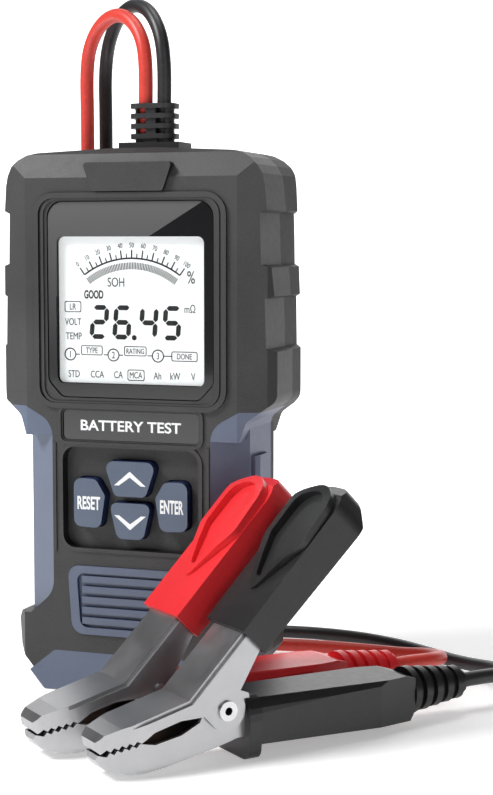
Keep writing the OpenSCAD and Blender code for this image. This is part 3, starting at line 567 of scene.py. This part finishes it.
for k in range(11):
    a = math.radians(90 + ARC_HALF * (1 - k / 5))
    words(f"scale_{k * 10}", str(k * 10), 30.5 * math.cos(a), ARC_Z + 30.5 * math.sin(a), 1.5,
          SEG_Y, segment_ink, squeeze=0.75, turn=a - math.pi / 2)
for name, text, cx, cz, h in (
        ("mark_percent", "%", 19.2, 129.0, 3.8), ("mark_soh", "SOH", -5.2, 127.4, 2.8),
        ("mark_lr", "LR", -19.6, 119.8, 1.9), ("mark_volt", "VOLT", -19.6, 115.2, 2.1),
        ("mark_temp", "TEMP", -19.4, 110.8, 2.1), ("mark_milliohm", "mΩ", 18.8, 119.6, 2.5),
        ("mark_1", "1", -20.6, STEP_Z, 2.0), ("mark_2", "2", -6.2, STEP_Z, 2.0),
        ("mark_3", "3", 8.4, STEP_Z, 2.0), ("mark_type", "TYPE", -13.4, 106.5, 1.7),
        ("mark_rating", "RATING", 1.0, 106.5, 1.6), ("mark_done", "DONE", 17.0, STEP_Z, 1.7),
        ("mark_std", "STD", -19.4, UNIT_Z, 2.1), ("mark_cca", "CCA", -11.6, UNIT_Z, 2.1),
        ("mark_ca", "CA", -4.6, UNIT_Z, 2.1), ("mark_mca", "MCA", 1.2, UNIT_Z, 1.9),
        ("mark_ah", "Ah", 8.2, UNIT_Z, 2.1), ("mark_kw", "kW", 14.0, UNIT_Z, 2.1),
        ("mark_v", "V", 19.8, UNIT_Z, 2.1)):
    words(name, text, cx, cz, h, SEG_Y, segment_ink, squeeze=0.72)
words("mark_good", "GOOD", -12.6, 123.6, 2.6, SEG_Y, segment_ink, squeeze=0.6, bold=0.03)

STRIP_Y = FRONT + 0.0004 - FILM
words("strip_words", "BATTERY TEST", 0, 83.6, 3.3, STRIP_Y, white_ink, width=33, bold=0.02)


# ---------------------------------------------------------------- keys
# Four moulded silicone keys with bevelled rims, printed in white.
# The keys get painted shade on their faces turned away from the front.
slate = moulded("slate_key_rubber", (0.085, 0.115, 0.17), 0.38, grain=0.15, grain_scale=2600,
                vary=0.12, painted_side_shade=(0.012, 0.025, 0.09))
dress(slate, "up_key", "down_key", "reset_key", "enter_key")
KEY_Y = FRONT - 0.0004 - FILM
for key, cx in (("reset", -13.7), ("enter", 13.7)):
    words(key + "_word", key.upper(), cx, 59.6, 4.2, KEY_Y, white_ink, body=key + "_button",
          width=7.6, bold=0.03)
for name, body, cz, s in (("up_arrow", "up_button", 67.4, 1),
                          ("down_arrow", "down_button", 54.4, -1)):
    bm = bmesh.new()
    film(bm, [(-5.2, cz - 1.9 * s), (-3.6, cz - 1.9 * s), (0, cz + 0.7 * s), (3.6, cz - 1.9 * s),
              (5.2, cz - 1.9 * s), (0, cz + 2.5 * s)], KEY_Y)
    add_piece(name, bm, white_ink, body)
plunger_mat = moulded("plunger_nylon", (0.6, 0.45, 0.08), 0.45)
dress(plunger_mat, "up_plunger", "down_plunger", "reset_plunger", "enter_plunger")


# ---------------------------------------------------------------- circuit board
# Green fibreglass board and its parts, out of sight behind the keys and the display.
board_mat = moulded("board_mask", (0.012, 0.13, 0.05), 0.3, grain=0.1, grain_scale=1500)
dark_part = moulded("part_epoxy", (0.02, 0.02, 0.022), 0.55)
dress(board_mat, "main_board")
dress(dark_part, "board_chips", "buzzer", "switch_bodies", "cable_clamp", "fuse_block")
dress(moulded("resistor_cement", (0.7, 0.67, 0.6), 0.7), "load_resistor")
dress(moulded("capacitor_sleeve", (0.03, 0.04, 0.11), 0.35), "capacitors")


def metal(name, colour, rough, scratch=0.12, scale=260, smear=0.08):
    """Bare or plated metal: long fine scratches, slow haze, and a slightly uneven colour."""
    m, tree, shader, place = new_material(name)
    lines = node(tree, "ShaderNodeTexNoise", {"Vector": place, "Scale": scale, "Detail": 6})
    haze = node(tree, "ShaderNodeTexNoise", {"Vector": place, "Scale": 45, "Detail": 4})
    dark = [c * 0.82 for c in colour]
    put(tree, shader, Base_Color=ramp(haze * 0.6 + lines * 0.4, [(0.25, dark), (0.75, colour)]),
        Metallic=1.0, Roughness=rough + lines * scratch * 0.5 + haze * smear - scratch * 0.2,
        Normal=node(tree, "ShaderNodeBump",
                    {"Height": lines, "Strength": scratch, "Distance": 0.00004}))
    return m


dress(metal("tray_aluminium", (0.7, 0.7, 0.72), 0.35), "lcd_frame")
dress(metal("lug_brass", (0.8, 0.6, 0.25), 0.3), "solder_lugs")
dress(metal("screw_zinc", (0.42, 0.42, 0.45), 0.35), "board_screws", "case_screws")


# ---------------------------------------------------------------- cable sleeve and pads
# Soft black vinyl strain relief round both leads; its windows let it bend.
black_rubber = moulded("black_rubber", (0.02, 0.02, 0.022), 0.45, grain=0.2, grain_scale=2200,
                       vary=0.3)
dress(black_rubber, "cable_sleeve", "foot_pads")


# ---------------------------------------------------------------- clamps
# Pressed spring-steel jaws, bright nickel plated; copper strips inside the mouth; a hollow
# rivet, a torsion spring and dipped vinyl sleeves on the handles.
nickel = metal("nickel_plate", (0.50, 0.50, 0.51), 0.27, scratch=0.10, scale=180, smear=0.14)
rivet_steel = metal("rivet_steel", (0.7, 0.7, 0.72), 0.2)
spring_steel = metal("spring_steel", (0.25, 0.25, 0.27), 0.3)
copper = metal("contact_copper", (0.62, 0.36, 0.22), 0.35)
screw_black = metal("contact_screw_black", (0.06, 0.06, 0.065), 0.35)
red_vinyl = moulded("red_vinyl", (0.74, 0.022, 0.028), 0.36, grain=0.12, grain_scale=1500, vary=0.1)
black_vinyl = moulded("black_vinyl", (0.009, 0.009, 0.010), 0.38, grain=0.12, grain_scale=1500,
                      vary=0.3)
for colour, vinyl in (("red", red_vinyl), ("black", black_vinyl)):
    dress(nickel, colour + "_upper_jaw", colour + "_lower_jaw")
    dress(rivet_steel, colour + "_rivet")
    dress(spring_steel, colour + "_spring_coil", colour + "_spring_leg")
    dress(copper, colour + "_upper_contact", colour + "_lower_contact")
    dress(screw_black, colour + "_contact_screw")
    dress(vinyl, colour + "_upper_sleeve", colour + "_lower_sleeve")

for names, width in ((("front_shell", "rear_shell"), 0.35),
                     (("left_grip", "right_grip", "bottom_bumper", "brow_tab"), 0.5),
                     (("rib_panel", "up_key", "down_key", "reset_key", "enter_key"), 0.4),
                     (("screen_lens", "name_strip", "cable_sleeve"), 0.25),
                     (("red_upper_jaw", "red_lower_jaw", "black_upper_jaw",
                       "black_lower_jaw"), 0.3),
                     (("red_upper_sleeve", "red_lower_sleeve", "black_upper_sleeve",
                       "black_lower_sleeve"), 0.7)):
    for n in names:
        soften(n, width)


# ---------------------------------------------------------------- table and surroundings
# White paper on the table that sweeps up behind the tester; the paper glows as painted light, dim
# near the tester and brighter at the back, in a dim studio whose dark walls give the gloss and the
# plating their contrast.
# The sweep's side edges lean with the camera's view, and it lies just under the rest plane.
CURVE_Y, CURVE_R, LEAN, BELOW = 0.9, 0.5, 0.33, 0.0002
curve = [math.radians(a) for a in range(10, 91, 10)]
sweep = [(-1.2, 0), (CURVE_Y, 0)]
sweep += [(CURVE_Y + CURVE_R * math.sin(a), CURVE_R - CURVE_R * math.cos(a)) for a in curve]
sweep += [(CURVE_Y + CURVE_R, 1.6)]
bm = bmesh.new()
rows = [[bm.verts.new((x - LEAN * y, y, z - BELOW)) for y, z in sweep] for x in (-0.9, 1.0)]
for k in range(len(sweep) - 1):
    bm.faces.new((rows[0][k], rows[1][k], rows[1][k + 1], rows[0][k + 1]))
for f in bm.faces:
    f.smooth = True
mesh = bpy.data.meshes.new("table")
bm.to_mesh(mesh)
bm.free()
table = bpy.data.objects.new("table", mesh)
bpy.context.scene.collection.objects.link(table)
floor_mat, tree, shader, place = new_material("table_paper")
paper = node(tree, "ShaderNodeTexNoise", {"Vector": place, "Scale": 200, "Detail": 3})
# Painted light: the paper's glow grows from dim near the tester to full white further away.
away = node(tree, "ShaderNodeVectorMath", {"Vector": place}, out=1, operation="LENGTH")
put(tree, shader, Base_Color=ramp(paper, [(0.3, (0.88, 0.88, 0.88)), (0.7, (0.91, 0.91, 0.91))]),
    Roughness=0.75 + paper * 0.1, Emission_Strength=1.0,
    Emission_Color=ramp(away, [(0.14, (0.36, 0.36, 0.36)), (0.42, (1.0, 1.0, 1.0))]))
mesh.materials.append(floor_mat)

world = bpy.data.worlds.new("studio")
bpy.context.scene.world = world
world.use_nodes = True
tree = world.node_tree
sky = node(tree, "ShaderNodeTexCoord", out=0)
up = node(tree, "ShaderNodeSeparateXYZ", {"Vector": sky}, out=2)
shade = ramp(up * 0.5 + 0.5, [(0.48, (0.75, 0.75, 0.75)), (0.55, (0.30, 0.30, 0.30)),
                              (0.72, (0.10, 0.10, 0.105)), (1.0, (0.38, 0.38, 0.39))])
back = tree.nodes["Background"]
tree.links.new(shade.out, back.inputs[0])
back.inputs[1].default_value = 0.36
bpy.context.scene.view_settings.view_transform = "Standard"
